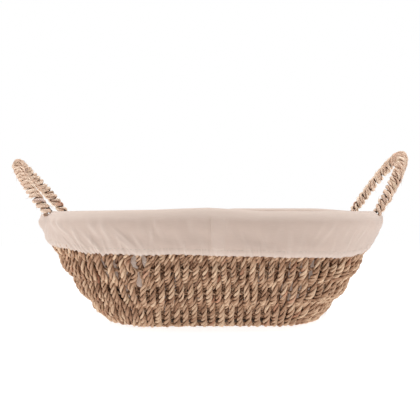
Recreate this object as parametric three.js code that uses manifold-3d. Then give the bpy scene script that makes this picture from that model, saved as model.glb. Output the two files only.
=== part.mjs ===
// Oval bread basket: seagrass rope woven on a welded wire frame, two wire-cored
// arch handles that lean outward, and a sewn cotton liner whose elastic hem grips the rim.
//
// Frame: millimetres, +Z up, origin on the table under the middle of the base.
// +X runs along the oval, -Y is the front. The plan is a stadium: two straight sides
// joined by half circles, so every level of the wall is one radius around one centre line.

import * as THREE from 'three';
import { mergeVertices } from 'three/addons/utils/BufferGeometryUtils.js';
import Module from 'manifold-3d';

// ---- Driving dimensions -------------------------------------------------------------

const straightHalf = 60; // half the length of each straight side
const footRadius = 54; // outside of the weave where it meets the table
const rimRadius = 122.5; // outside of the weave at its rim
const weaveHeight = 118.5; // table to the top of the weave
const footFlare = { out: 37, up: 34 }; // how the wall leaves the foot
const rimFlare = { out: 4.5, up: 38.5 }; // how the wall arrives at the rim
const wallThickness = 14; // two ropes with a weft rope between them

const wireRadius = 2; // every wire of the frame
const weftRadius = 2.25; // horizontal weft ropes
const weftDepth = 6; // outside of the wall to the middle of a weft rope
const weftCount = 4;
const lowestWeftRise = 7.1; // from the base wire up the wall to the lowest weft rope
const highestWeftDrop = 28; // from the rim wire down the wall to the highest weft rope
const footLip = 0.9; // weave below the base wire's groove
const rimLip = 0.5; // weave above the rim wire's groove, on the inside
const rimWireDrop = 6; // from the top of the weave down to the rim wire
const matThickness = 10; // woven base

const endRibAngle = 58.85; // degrees either side of the long axis
const handleLegAngle = 27.7;
const endArcStep = 16; // widest flat in the round ends, degrees

const legCrossing = 16.5; // height in which a handle leg moves from rim wire to ribs
const handleRise = { left: 65.5, right: 70 }; // foot to crown, along the leaning arch
const handleRoundness = 1.8; // 2 is an ellipse, less is more pointed
const handleLean = { left: 39, right: 34 }; // degrees from upright, outward
const footSplay = 5; // degrees that an arch's foot leans beyond the rest of it
const archSteps = 20;
const wrapSides = 10;
const legSteps = 7;
const wrapRadius = 6.5; // seagrass wound on the handle wire

const clothThickness = 0.8;
const linerRise = 2.5; // the liner lies this much above the weave
const hemCasing = 7; // height of the turned-up hem
const cuffBillow = [
  { drop: 3.5, standOff: 4.4 },
  { drop: 11.5, standOff: 5.8 },
  { drop: 23.5, standOff: 4.2 },
  { drop: 32.5, standOff: 5 },
  { drop: 41.5, standOff: 3.4 }, // the hem
]; // distance below the top of the weave, and how far the cuff stands off it there
const elasticThickness = 0.8;
const elasticWidth = 4.5;
const slitOverrun = 3.3; // degrees that a handle's slit reaches past each leg

const slitMargin = 1.2; // clear space either side of a handle wire in its slit

const gap = 0.3; // between pieces that touch
const ropeGap = 0.5; // around a rope or wire in its groove

// Heights that follow from them. Those of wires and wefts are on the outside of the wall.
const baseWireHeight = footLip + ropeGap + wireRadius;
const rimWireHeight = weaveHeight - rimWireDrop;
const linerTop = weaveHeight + linerRise;
const cuffLevels = cuffBillow.map(({ drop, standOff }) => ({ height: weaveHeight - drop, standOff }));
const hemHeight = cuffLevels.at(-1).height;

// ---- Colours ------------------------------------------------------------------------

const finishes = {
  seagrass: { color: 0xa98a6c, roughness: 0.85, metalness: 0 },
  twine: { color: 0xc0a283, roughness: 0.85, metalness: 0 },
  steel: { color: 0x8f8f8c, roughness: 0.45, metalness: 0.9 },
  cotton: { color: 0xdcc9bb, roughness: 0.95, metalness: 0 },
  elastic: { color: 0xf1efec, roughness: 0.7, metalness: 0 },
};

const basket = new THREE.Group();

function addPiece(name, geometry, finish) {
  const mesh = new THREE.Mesh(geometry, new THREE.MeshStandardMaterial(finishes[finish]));
  mesh.name = name;
  basket.add(mesh);
}

// ---- Geometry helpers ---------------------------------------------------------------

const toRadians = Math.PI / 180;

// A closed body from its points and triangles, turned so that its faces point out.
function closedBody(points, triangles) {
  let volume = 0;
  for (const [a, b, c] of triangles) {
    volume += points[a].dot(new THREE.Vector3().crossVectors(points[b], points[c]));
  }
  const index = triangles.flatMap(([a, b, c]) => (volume > 0 ? [a, b, c] : [a, c, b]));
  const geometry = new THREE.BufferGeometry().setFromPoints(points);
  geometry.setIndex(index);
  geometry.computeVertexNormals();
  return geometry;
}

// The two triangles of each quad between loop `a` and loop `b`, given as point indices.
function bridge(a, b) {
  const triangles = [];
  for (let i = 0; i < a.length; i += 1) {
    const next = (i + 1) % a.length;
    triangles.push([a[i], a[next], b[next]], [a[i], b[next], b[i]]);
  }
  return triangles;
}

function indexRange(start, count) {
  return Array.from({ length: count }, (_, i) => start + i);
}

// Where the plan is at `u`: 0 to 1 is the front side, 1 to 2 the right end, 2 to 3 the
// back side and 3 to 4 the left end. `shift` moves the station along the side.
function planStation(u, shift = 0) {
  const side = Math.floor(u) % 4;
  const along = u - Math.floor(u);
  const span = straightHalf * (2 * along - 1);
  const turn = (180 * along - 90) * toRadians;
  const stations = [
    { centre: span, nx: 0, ny: -1 },
    { centre: straightHalf, nx: Math.cos(turn), ny: Math.sin(turn) },
    { centre: -span, nx: 0, ny: 1 },
    { centre: -straightHalf, nx: -Math.cos(turn), ny: -Math.sin(turn) },
  ];
  return { ...stations[side], shift };
}

function placeAt(station, radius, height) {
  return new THREE.Vector3(
    station.centre + radius * station.nx - station.shift * station.ny,
    radius * station.ny + station.shift * station.nx,
    height,
  );
}

// Sweeps an outline of (radius, height) points along plan stations.
function sweepAround(outline, stations, closedRing) {
  const profile = THREE.ShapeUtils.isClockWise(outline) ? [...outline].reverse() : outline;
  const points = stations.flatMap((s) => profile.map((p) => placeAt(s, p.x, p.y)));
  const loops = stations.map((_, i) => indexRange(i * profile.length, profile.length));
  const triangles = [];
  for (let i = 0; i + 1 < loops.length; i += 1) {
    triangles.push(...bridge(loops[i], loops[i + 1]));
  }
  if (closedRing) {
    triangles.push(...bridge(loops.at(-1), loops[0]));
    return closedBody(points, triangles);
  }
  const last = loops.at(-1);
  for (const [a, b, c] of THREE.ShapeUtils.triangulateShape(profile, [])) {
    triangles.push([c, b, a], [last[a], last[b], last[c]]);
  }
  return closedBody(points, triangles);
}

// A flat piece of the plan's shape, from levels of { radius, height }, lowest first.
function planSlab(levels) {
  const points = levels.flatMap((l) => ringStations.map((s) => placeAt(s, l.radius, l.height)));
  const size = ringStations.length;
  const loops = levels.map((_, i) => indexRange(i * size, size));
  const triangles = [];
  for (let i = 0; i + 1 < loops.length; i += 1) {
    triangles.push(...bridge(loops[i], loops[i + 1]));
  }
  const [bottom, top] = [levels[0], levels.at(-1)].map((level) => {
    points.push(new THREE.Vector3(0, 0, level.height));
    return points.length - 1;
  });
  loops[0].forEach((corner, i) => {
    const next = (i + 1) % size;
    triangles.push([bottom, loops[0][next], corner], [top, loops.at(-1)[i], loops.at(-1)[next]]);
  });
  return closedBody(points, triangles);
}

// A rod along a path of points, or a tube when it has a bore.
function rodAlong(path, radius, bore = 0, sides = 8) {
  const points = [];
  const loops = { skin: [], bore: [] };
  let across = new THREE.Vector3(0.31, 0.59, 0.74);
  path.forEach((centre, i) => {
    const before = path[Math.max(i - 1, 0)];
    const after = path[Math.min(i + 1, path.length - 1)];
    const along = new THREE.Vector3().subVectors(after, before).normalize();
    across = across.clone().addScaledVector(along, -across.dot(along)).normalize();
    const upward = new THREE.Vector3().crossVectors(along, across);
    for (const [kind, size] of [['skin', radius], ['bore', bore]]) {
      if (size === 0) continue;
      loops[kind].push(indexRange(points.length, sides));
      for (let k = 0; k < sides; k += 1) {
        const turn = (2 * Math.PI * k) / sides;
        const point = centre.clone().addScaledVector(across, size * Math.cos(turn));
        points.push(point.addScaledVector(upward, size * Math.sin(turn)));
      }
    }
  });
  const triangles = [];
  for (let i = 0; i + 1 < path.length; i += 1) {
    triangles.push(...bridge(loops.skin[i], loops.skin[i + 1]));
    if (bore > 0) triangles.push(...bridge(loops.bore[i + 1], loops.bore[i]));
  }
  if (bore > 0) {
    triangles.push(...bridge(loops.bore[0], loops.skin[0]));
    triangles.push(...bridge(loops.skin.at(-1), loops.bore.at(-1)));
    return closedBody(points, triangles);
  }
  for (let k = 1; k + 1 < sides; k += 1) {
    const first = loops.skin[0];
    const last = loops.skin.at(-1);
    triangles.push([first[0], first[k + 1], first[k]], [last[0], last[k], last[k + 1]]);
  }
  return closedBody(points, triangles);
}

const manifold = await Module();
manifold.setup();

function toManifold(geometry) {
  const bare = geometry.clone();
  bare.deleteAttribute('normal');
  bare.deleteAttribute('uv');
  const merged = mergeVertices(bare);
  return new manifold.Manifold(
    new manifold.Mesh({
      numProp: 3,
      vertProperties: new Float32Array(merged.attributes.position.array),
      triVerts: new Uint32Array(merged.index.array),
    }),
  );
}

function subtract(geometry, cutters) {
  let solid = toManifold(geometry);
  for (const cutter of cutters) solid = solid.subtract(toManifold(cutter));
  const mesh = solid.getMesh();
  const cut = new THREE.BufferGeometry();
  cut.setAttribute('position', new THREE.BufferAttribute(mesh.vertProperties, 3));
  cut.setIndex(new THREE.BufferAttribute(mesh.triVerts, 1));
  cut.computeVertexNormals();
  return cut;
}

// ---- The wall's section ---------------------------------------------------------------

const wallCurve = new THREE.CubicBezierCurve(
  new THREE.Vector2(footRadius, 0),
  new THREE.Vector2(footRadius + footFlare.out, footFlare.up),
  new THREE.Vector2(rimRadius - rimFlare.out, weaveHeight - rimFlare.up),
  new THREE.Vector2(rimRadius, weaveHeight),
);

// The wall's outside point, its upward direction and its inward direction at a height.
function wallFrame(height) {
  let low = 0;
  let high = 1;
  for (let i = 0; i < 40; i += 1) {
    const middle = (low + high) / 2;
    if (wallCurve.getPoint(middle).y < height) low = middle;
    else high = middle;
  }
  const up = wallCurve.getTangent(low);
  return { outside: wallCurve.getPoint(low), up, inward: new THREE.Vector2(-up.y, up.x) };
}

// The point at a height on the wall's outside, then `depth` square into the wall.
function wallPoint(height, depth) {
  const { outside, inward } = wallFrame(height);
  return outside.addScaledVector(inward, depth);
}

// The inner corner of the rim, square in from a lip above the rim wire's groove.
function rimShoulder(depth) {
  const { outside, up, inward } = wallFrame(rimWireHeight);
  return outside
    .addScaledVector(up, wireRadius + ropeGap + rimLip)
    .addScaledVector(inward, depth);
}

function steps(from, to, count) {
  return Array.from({ length: count + 1 }, (_, i) => from + ((to - from) * i) / count);
}

// ---- Plan positions -------------------------------------------------------------------

const endRibs = [-endRibAngle, -handleLegAngle, handleLegAngle, endRibAngle];
const endRibStations = endRibs.map((angle) => 0.5 + angle / 180);
const ribStations = [
  0,
  0.5,
  1,
  ...endRibStations.map((u) => 1 + u),
  2,
  2.5,
  3,
  ...endRibStations.map((u) => 3 + u),
  4,
];

function isEnd(u) {
  return Math.floor(u) % 2 === 1;
}

// Positions between two neighbouring ribs, fine enough to follow a round end.
function spanPositions(from, to) {
  const middle = (from + to) / 2;
  const count = isEnd(middle) ? Math.ceil(((to - from) * 180) / endArcStep) : 1;
  return steps(from, to, count);
}

const ringStations = ribStations
  .slice(0, -1)
  .flatMap((from, i) => spanPositions(from, ribStations[i + 1]).slice(0, -1))
  .map((u) => planStation(u));

// ---- Wire frame -------------------------------------------------------------------------

const ribDepth = weftDepth + weftRadius + wireRadius + gap;

function roundProfile(centre, radius, sides = 8) {
  return Array.from({ length: sides }, (_, k) => {
    const turn = (2 * Math.PI * (k + 0.5)) / sides;
    const offset = new THREE.Vector2(Math.cos(turn), Math.sin(turn));
    return centre.clone().addScaledVector(offset, radius);
  });
}

function addRing(name, centre, radius, finish) {
  addPiece(name, sweepAround(roundProfile(centre, radius), ringStations, true), finish);
}

addRing('rim_wire', wallPoint(rimWireHeight, ribDepth), wireRadius, 'steel');
addRing('base_wire', wallPoint(baseWireHeight, weftDepth), wireRadius, 'steel');

const ribBottom = 0.5;

// A rib's path down the wall at one station, from under the rim wire to the foot.
function ribPath(station) {
  const rim = wallFrame(rimWireHeight);
  const top = rim.outside
    .addScaledVector(rim.up, -wireRadius - gap)
    .addScaledVector(rim.inward, ribDepth);
  const lower = steps(rimWireHeight - legCrossing, ribBottom, legSteps).map((h) => wallPoint(h, ribDepth));
  return [top, ...lower].map((point) => placeAt(station, point.x, point.y));
}

// The long ribs run down one side, across under the base mat's top and up the other side.
const crossWireHeight = matThickness - wireRadius - gap;

function crossRibPath(u) {
  const front = ribPath(planStation(u));
  const back = ribPath(planStation((3 - u) % 4)).reverse();
  const foot = wallPoint(0, ribDepth);
  const crossing = [-1, 1].map((side) => {
    return new THREE.Vector3(front[0].x, side * (foot.x - wireRadius), crossWireHeight);
  });
  return [...front, ...crossing, ...back];
}

for (const [name, u] of [['rib_wire_left', 0], ['rib_wire_middle', 0.5], ['rib_wire_right', 1]]) {
  addPiece(name, rodAlong(crossRibPath(u), wireRadius), 'steel');
}

const endRibNames = [
  ['end_rib_wire_right_front', 1, -endRibAngle],
  ['end_rib_wire_right_back', 1, endRibAngle],
  ['end_rib_wire_left_back', 3, -endRibAngle],
  ['end_rib_wire_left_front', 3, endRibAngle],
];

for (const [name, side, angle] of endRibNames) {
  addPiece(name, rodAlong(ribPath(planStation(side + 0.5 + angle / 180)), wireRadius), 'steel');
}

// ---- Handles ------------------------------------------------------------------------------

// The handle wire's leg bends over the outside of the rim wire and runs on as a rib.
const rimPassDepth = ribDepth - 2 * wireRadius - gap;
const legJoinHeight = rimWireHeight - legCrossing; // from here down it lies as the ribs do

function handleLegPath(station) {
  const overRim = wallPoint(rimWireHeight, rimPassDepth);
  const lower = steps(legJoinHeight, ribBottom, legSteps).map((h) => wallPoint(h, ribDepth));
  return [overRim, ...lower].map((p) => placeAt(station, p.x, p.y));
}

// The leaning arch, from its front foot to its back foot.
function archPath(side, name) {
  const lean = handleLean[name] * toRadians;
  const reach = rimRadius * Math.cos(handleLegAngle * toRadians);
  const halfSpan = rimRadius * Math.sin(handleLegAngle * toRadians);
  const power = 2 / handleRoundness;
  return steps(0, Math.PI, archSteps).map((turn) => {
    const across = -halfSpan * Math.sign(Math.cos(turn)) * Math.abs(Math.cos(turn)) ** power;
    const rise = handleRise[name] * Math.abs(Math.sin(turn)) ** power;
    const out = straightHalf + reach + rise * Math.sin(lean);
    return new THREE.Vector3(
      side * out,
      across,
      linerTop + rise * Math.cos(lean),
    );
  });
}

function addHandle(name, side) {
  const arch = archPath(side, name);
  const frontStation = planStation(side > 0 ? 1.5 - handleLegAngle / 180 : 3.5 + handleLegAngle / 180);
  const backStation = planStation(side > 0 ? 1.5 + handleLegAngle / 180 : 3.5 - handleLegAngle / 180);
  const frontLeg = handleLegPath(frontStation).reverse();
  const wire = [...frontLeg, ...arch, ...handleLegPath(backStation)];
  addPiece(`handle_wire_${name}`, rodAlong(wire, wireRadius), 'steel');
  const footLean = (handleLean[name] + footSplay) * toRadians;
  const clear = linerTop + gap + wrapRadius * Math.sin(footLean);
  const wrapped = arch.filter((point) => point.z > clear);
  addPiece(`handle_wrap_${name}`, rodAlong(wrapped, wrapRadius, wireRadius + ropeGap, wrapSides), 'twine');
}

addHandle('left', -1);
addHandle('right', 1);

// ---- Weft ropes ------------------------------------------------------------------------------

const weftHeights = steps(
  baseWireHeight + lowestWeftRise,
  rimWireHeight - highestWeftDrop,
  weftCount - 1,
);

weftHeights.forEach((height, i) => {
  addRing(`weft_rope_${i + 1}`, wallPoint(height, weftDepth), weftRadius, 'seagrass');
});

// ---- Woven side panels, one between each two ribs ----------------------------------------------

// The corners of a groove cut square into the wall's inside for a rope or wire.
function groove(height, depth, radius) {
  const { outside, up, inward } = wallFrame(height);
  const half = radius + ropeGap;
  const corner = (along, into) => {
    return outside.clone().addScaledVector(up, along).addScaledVector(inward, into);
  };
  return [
    corner(half, wallThickness),
    corner(half, depth - half),
    corner(-half, depth - half),
    corner(-half, wallThickness),
  ];
}

function panelProfile() {
  const grooves = [
    [baseWireHeight, weftDepth, wireRadius],
    ...weftHeights.map((height) => [height, weftDepth, weftRadius]),
    [rimWireHeight, ribDepth, wireRadius],
  ].reverse();
  const inside = grooves.flatMap(([height, depth, radius], i) => {
    const corners = groove(height, depth, radius);
    if (i + 1 === grooves.length) return corners;
    return [...corners, wallPoint((height + grooves[i + 1][0]) / 2, wallThickness)];
  });
  return [
    ...steps(0, weaveHeight, 8).map((height) => wallPoint(height, 0)),
    rimShoulder(wallThickness),
    ...inside,
    wallPoint(0, wallThickness),
  ];
}

function panelStations(from, to) {
  const positions = spanPositions(from, to);
  const edge = wireRadius + gap;
  const inner = positions.slice(1, -1).map((u) => planStation(u));
  return [planStation(from, edge), ...inner, planStation(to, -edge)];
}

const panelNames = [
  'side_weave_front_left',
  'side_weave_front_right',
  ...[1, 2, 3, 4, 5].map((n) => `side_weave_right_${n}`),
  'side_weave_back_right',
  'side_weave_back_left',
  ...[1, 2, 3, 4, 5].map((n) => `side_weave_left_${n}`),
];

panelNames.forEach((name, i) => {
  const stations = panelStations(ribStations[i], ribStations[i + 1]);
  addPiece(name, sweepAround(panelProfile(), stations, false), 'seagrass');
});

// ---- Woven base mat ------------------------------------------------------------------------------

// The mat's edge lies along the wall's foot face, and its top is grooved for the long ribs.
function baseMat() {
  const edge = wallFrame(0);
  const clear = gap / edge.up.x;
  const lean = edge.inward.x / edge.inward.y;
  const lowest = Math.min(crossWireHeight, wallPoint(0, ribDepth).y) - wireRadius - ropeGap;
  const grooveHeight = 2 * (matThickness - lowest);
  const levels = [0, matThickness].map((height) => {
    return { radius: footRadius + height * lean - clear, height };
  });
  const grooves = [-straightHalf, 0, straightHalf].map((x) => {
    const cutter = new THREE.BoxGeometry(
      2 * (wireRadius + gap),
      4 * footRadius,
      grooveHeight,
    );
    return cutter.translate(x, 0, matThickness);
  });
  return subtract(planSlab(levels), grooves);
}

addPiece('base_mat', baseMat(), 'seagrass');

// ---- Cotton liner ----------------------------------------------------------------------------------

const linerDepth = wallThickness + gap + clothThickness / 2;
const casingDepth = elasticThickness + clothThickness + 2 * gap;

function cuffStandOff(height) {
  const below = Math.max(1, cuffLevels.findIndex((level) => level.height <= height));
  const [upper, lower] = [cuffLevels[below - 1], cuffLevels[below]];
  const share = (height - lower.height) / (upper.height - lower.height);
  return lower.standOff + share * (upper.standOff - lower.standOff);
}

function cuffPoint(height, inset = 0) {
  return wallPoint(height, inset - cuffStandOff(height));
}

// The middle of the cloth: up the inside, over the rim, down the cuff and up into the hem.
function linerPath() {
  const crownHeight = linerTop - clothThickness / 2;
  const inside = steps(1, rimWireHeight, 7).map((height) => wallPoint(height, linerDepth));
  const innerShoulder = rimShoulder(wallThickness);
  const outerShoulder = wallPoint(weaveHeight, 0);
  const cuff = cuffLevels.map(({ height }) => cuffPoint(height));
  const hemTop = hemHeight + hemCasing;
  const turn = wallFrame(hemHeight);
  const turnedUnder = cuffPoint(hemHeight, casingDepth / 2).addScaledVector(turn.up, -casingDepth / 2);
  return [
    ...inside,
    rimShoulder(linerDepth),
    new THREE.Vector2(innerShoulder.x + 2 * clothThickness, crownHeight),
    new THREE.Vector2((innerShoulder.x + outerShoulder.x) / 2, crownHeight),
    new THREE.Vector2(outerShoulder.x, crownHeight),
    ...cuff,
    turnedUnder,
    cuffPoint(hemHeight, casingDepth),
    cuffPoint((hemHeight + hemTop) / 2, casingDepth),
    cuffPoint(hemTop, casingDepth),
  ];
}

// A strip of even thickness along a path of (radius, height) points.
function stripProfile(path, thickness) {
  const offset = (side) => {
    return path.map((point, i) => {
      const before = path[Math.max(i - 1, 0)];
      const after = path[Math.min(i + 1, path.length - 1)];
      const along = new THREE.Vector2().subVectors(after, before).normalize();
      const square = new THREE.Vector2(-along.y, along.x);
      return point.clone().addScaledVector(square, (side * thickness) / 2);
    });
  };
  return [...offset(1), ...offset(-1).reverse()];
}

// The slit that lets both legs of a handle through the top of the liner.
function handleSlit(side) {
  const reach = wireRadius + slitMargin;
  const middle = rimRadius - clothThickness;
  const top = linerTop + reach;
  const bottom = weaveHeight - reach;
  const profile = [
    new THREE.Vector2(middle - reach, bottom),
    new THREE.Vector2(middle + reach, bottom),
    new THREE.Vector2(middle + reach, top),
    new THREE.Vector2(middle - reach, top),
  ];
  const centre = side > 0 ? 1.5 : 3.5;
  const halfSlit = (handleLegAngle + slitOverrun) / 180;
  const positions = steps(centre - halfSlit, centre + halfSlit, 6);
  return sweepAround(profile, positions.map((u) => planStation(u)), false);
}

// Each half of the liner runs from the back seam round one end to the front seam.
function linerHalf(side) {
  const start = side > 0 ? 0.5 : 2.5;
  const spans = ribStations.concat(4.5).filter((u) => u >= start && u <= start + 2);
  const positions = spans
    .slice(0, -1)
    .flatMap((from, i) => spanPositions(from, spans[i + 1]).slice(0, -1));
  const inner = positions.slice(1).map((u) => planStation(u));
  const seam = gap / 2;
  const stations = [planStation(start, seam), ...inner, planStation(start + 2, -seam)];
  const strip = sweepAround(stripProfile(linerPath(), clothThickness), stations, false);
  return subtract(strip, [handleSlit(side)]);
}

addPiece('liner_side_left', linerHalf(-1), 'cotton');
addPiece('liner_side_right', linerHalf(1), 'cotton');

const linerFloorBase = matThickness + gap;

// The floor reaches to the inside of the liner's sides at its own height.
function linerFloorReach() {
  const faceDepth = linerDepth + clothThickness / 2;
  const below = steps(0, matThickness, 20).filter((height) => {
    return wallPoint(height, faceDepth).y <= linerFloorBase;
  });
  return wallPoint(below.at(-1) ?? 0, faceDepth).x - gap;
}

const linerFloorEdge = linerFloorReach();

addPiece(
  'liner_floor',
  planSlab([
    { radius: linerFloorEdge, height: linerFloorBase },
    { radius: linerFloorEdge, height: linerFloorBase + clothThickness },
  ]),
  'cotton',
);

// The elastic lies in the hem, between the cuff and its turned-up edge.
function elasticProfile() {
  const bottom = hemHeight + (hemCasing - elasticWidth) / 2;
  const path = steps(bottom, bottom + elasticWidth, 1).map((h) => cuffPoint(h, casingDepth / 2));
  return stripProfile(path, elasticThickness);
}

addPiece('hem_elastic', sweepAround(elasticProfile(), ringStations, true), 'elastic');

export default basket;
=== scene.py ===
"""Bread basket: seagrass rope woven on a wire frame, two wound handles and a cotton liner.

All shapes are made in millimetres, in the row frame, and scaled to metres in make_mesh().
"""

import math

import bpy
import numpy as np
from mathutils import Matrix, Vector


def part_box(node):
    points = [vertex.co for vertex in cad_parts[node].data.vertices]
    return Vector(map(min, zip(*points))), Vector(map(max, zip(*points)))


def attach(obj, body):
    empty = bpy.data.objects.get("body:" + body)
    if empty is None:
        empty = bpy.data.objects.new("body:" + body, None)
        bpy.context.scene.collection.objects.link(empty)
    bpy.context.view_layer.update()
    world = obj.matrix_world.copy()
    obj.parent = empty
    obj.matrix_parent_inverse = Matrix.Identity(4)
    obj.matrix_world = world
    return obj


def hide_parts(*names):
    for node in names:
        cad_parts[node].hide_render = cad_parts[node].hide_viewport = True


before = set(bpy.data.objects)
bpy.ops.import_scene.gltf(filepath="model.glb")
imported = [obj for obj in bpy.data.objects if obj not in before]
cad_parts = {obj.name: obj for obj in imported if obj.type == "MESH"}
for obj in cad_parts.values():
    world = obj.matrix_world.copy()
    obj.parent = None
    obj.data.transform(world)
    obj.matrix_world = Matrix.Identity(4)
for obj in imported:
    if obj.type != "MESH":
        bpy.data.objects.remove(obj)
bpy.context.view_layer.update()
rng = np.random.default_rng(7)

MM = 0.001
TURN = 2 * math.pi

# ---- Driving dimensions, the same as the CAD's (mm, degrees) ----

STRAIGHT_HALF = 60
WALL_CURVE = [(54, 0), (91, 34), (118, 80), (122.5, 118.5)]
WEAVE_HEIGHT = 118.5
WALL_THICKNESS = 14
BASE_WIRE = {"height": 3.4, "depth": 6}
RIM_WIRE = {"height": 112.5, "depth": 10.55}
WEFT_HEIGHTS = [10.5, 35.2, 59.8, 84.5]
WEFT_DEPTH = 6
LEG_ANGLE = 27.7
RIB_STATIONS = [0, 0.5, 1, 1.1731, 1.3461, 1.6539, 1.8269, 2, 2.5, 3, 3.1731, 3.3461, 3.6539, 3.8269]
PANELS = [
    "front_left", "front_right", "right_1", "right_2", "right_3", "right_4", "right_5",
    "back_right", "back_left", "left_1", "left_2", "left_3", "left_4", "left_5",
]
HANDLE_FOOT = {"x": 168.5, "y": 56.9, "z": 121}
HANDLE_RISE = {"left": 64.3, "right": 72.3}
HANDLE_ROUNDNESS = 1.8
HANDLE_LEAN = {"left": 38.5, "right": 33}
HANDLE_SHIFT = {"left": -1.6, "right": 1.6}
HEM_DROP = 41.5
CUFF_BILLOW = [(3.5, 4.4), (11.5, 5.8), (23.5, 4.2), (32.5, 5), (HEM_DROP, 3.4)]
HEM_CASING = 7
LINER_TOP = 120.6

# ---- Sizes that only this script has ----

LEGS = {"side": 26, "end": 52}
ROPE = {"plies": 3, "offset": 1.75, "radial": 1.4, "across": 1.65, "lay": 18.0}
WEFT_ROPE = {"plies": 2, "offset": 0.95, "radial": 1.1, "across": 1.4, "lay": 12.0}
TWINE = {"plies": 3, "offset": 1.35, "radial": 1.15, "across": 1.6, "lay": 17.0}
BASE_LOOP_RADIUS = 4.6
RIM_LOOP_RADIUS = 2.8
COIL_RADIUS = 3.6
COIL_PITCH = 6.3
PLY_SIDES = 8
TIP_SHARE = 0.02
FIBRE_POINTS = 6
FIBRES_PER_LEG = 30


# ---- Plan and wall ----

def plan(u):
    """Centre x and outward normal of the oval at station u: front, right end, back, left end."""
    u = np.mod(np.asarray(u, float), 4)
    corners = [0, 1, 2, 3, 4]
    centre = STRAIGHT_HALF * np.interp(u, corners, [-1, 1, 1, -1, -1])
    angle = np.radians(np.interp(u, corners, [-90, -90, 90, 90, 270]))
    return centre, np.cos(angle), np.sin(angle)


def around(u, radius, height):
    """Points at station u, this far out from the oval's middle line."""
    centre, nx, ny = plan(u)
    return np.stack([centre + radius * nx, radius * ny, np.broadcast_to(height, np.shape(centre))], -1)


def bezier(t):
    """(radius, height) of the wall's outside at share t of its curve, and the direction up it."""
    t = np.asarray(t, float)[..., None]
    a, b, c, d = [np.array(p, float) for p in WALL_CURVE]
    point = a * (1 - t) ** 3 + 3 * b * t * (1 - t) ** 2 + 3 * c * t ** 2 * (1 - t) + d * t ** 3
    slope = 3 * (b - a) * (1 - t) ** 2 + 6 * (c - b) * t * (1 - t) + 3 * (d - c) * t ** 2
    return point, slope / np.linalg.norm(slope, axis=-1, keepdims=True)


WALL_T = np.linspace(0, 1, 4001)
WALL_Z = bezier(WALL_T)[0][:, 1]


def wall(height, depth):
    """(radius, height) of a point this far square into the wall, and the wall's inward direction."""
    point, up = bezier(np.interp(height, WALL_Z, WALL_T))
    inward = np.stack([-up[..., 1], up[..., 0]], -1)
    return point + inward * np.asarray(depth, float)[..., None], inward


def wall_depth(points):
    """How deep in the wall (radius, height) points lie, measured square to its outside."""
    heights = np.clip(points[:, 1], 0, WEAVE_HEIGHT)
    for _ in range(3):
        surface, inward = wall(heights, np.zeros(len(heights)))
        along = np.stack([inward[:, 1], -inward[:, 0]], -1)
        heights = np.clip(heights + ((points - surface) * along).sum(1) * along[:, 1], 0, WEAVE_HEIGHT)
    surface, inward = wall(heights, np.zeros(len(heights)))
    return ((points - surface) * inward).sum(1)


def smooth(x):
    """A soft step from 0 to 1."""
    x = np.clip(x, 0, 1)
    return x * x * (3 - 2 * x)


def wander(count, spacing, random):
    """A smooth random run of `count` values, about -1 to 1, that turns every `spacing` values."""
    knots = random.uniform(-1, 1, int(count / spacing) + 4)
    place = np.arange(count) / spacing
    low = place.astype(int)
    return knots[low] + (knots[low + 1] - knots[low]) * smooth(place - low)


# How far each end is drawn in, by height (mm).
RIGHT_DRAW = ([0, 20, 40, 60, 85, 98, 112], [0, 1.2, 2.1, 2.2, 2.4, 1.6, 0])
LEFT_DRAW = ([0, 12, 35, 55, 75], [0, 1.8, 2.1, 1.6, 0])


def settle(points):
    """The finished basket isn't quite regular: its ends are drawn in, and worn round at the foot."""
    x, z = points[:, 0], points[:, 2]
    draw = np.where(x > 0, -np.interp(z, *RIGHT_DRAW), np.interp(z, *LEFT_DRAW))
    foot = smooth((np.abs(x) - 72) / 30) * smooth((17 - z) / 15)
    worn = np.where(x < 0, 3.8, -0.3) * foot
    return points + np.stack([worn + draw * smooth((np.abs(x) - 95) / 45), 0 * x, 1.5 * foot], -1)


# ---- Meshes ----

def make_mesh(name, parts, material):
    """One object from (points, quads, uv, shade, hue) parts; shade and hue are per-point values."""
    points = np.concatenate([p[0] for p in parts])
    starts = np.cumsum([0] + [len(p[0]) for p in parts[:-1]])
    quads = np.concatenate([p[1] + start for p, start in zip(parts, starts)])
    mesh = bpy.data.meshes.new(name)
    mesh.vertices.add(len(points))
    mesh.vertices.foreach_set("co", (settle(points) * MM).astype(np.float32).ravel())
    mesh.loops.add(quads.size)
    mesh.loops.foreach_set("vertex_index", quads.astype(np.int32).ravel())
    mesh.polygons.add(len(quads))
    mesh.polygons.foreach_set("loop_start", np.arange(0, quads.size, 4, dtype=np.int32))
    mesh.update(calc_edges=True)
    mesh.polygons.foreach_set("use_smooth", np.ones(len(quads), bool))
    layer = mesh.uv_layers.new(name="uv")
    corner_uv = np.concatenate([p[2] for p in parts])
    layer.data.foreach_set("uv", corner_uv.astype(np.float32).ravel())
    for title, place in (("shade", 3), ("hue", 4)):
        values = np.concatenate([p[place] for p in parts]).astype(np.float32)
        mesh.attributes.new(title, "FLOAT", "POINT").data.foreach_set("value", values)
    piece = bpy.data.objects.new(name, mesh)
    bpy.context.scene.collection.objects.link(piece)
    mesh.materials.append(material)
    return piece


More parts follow.
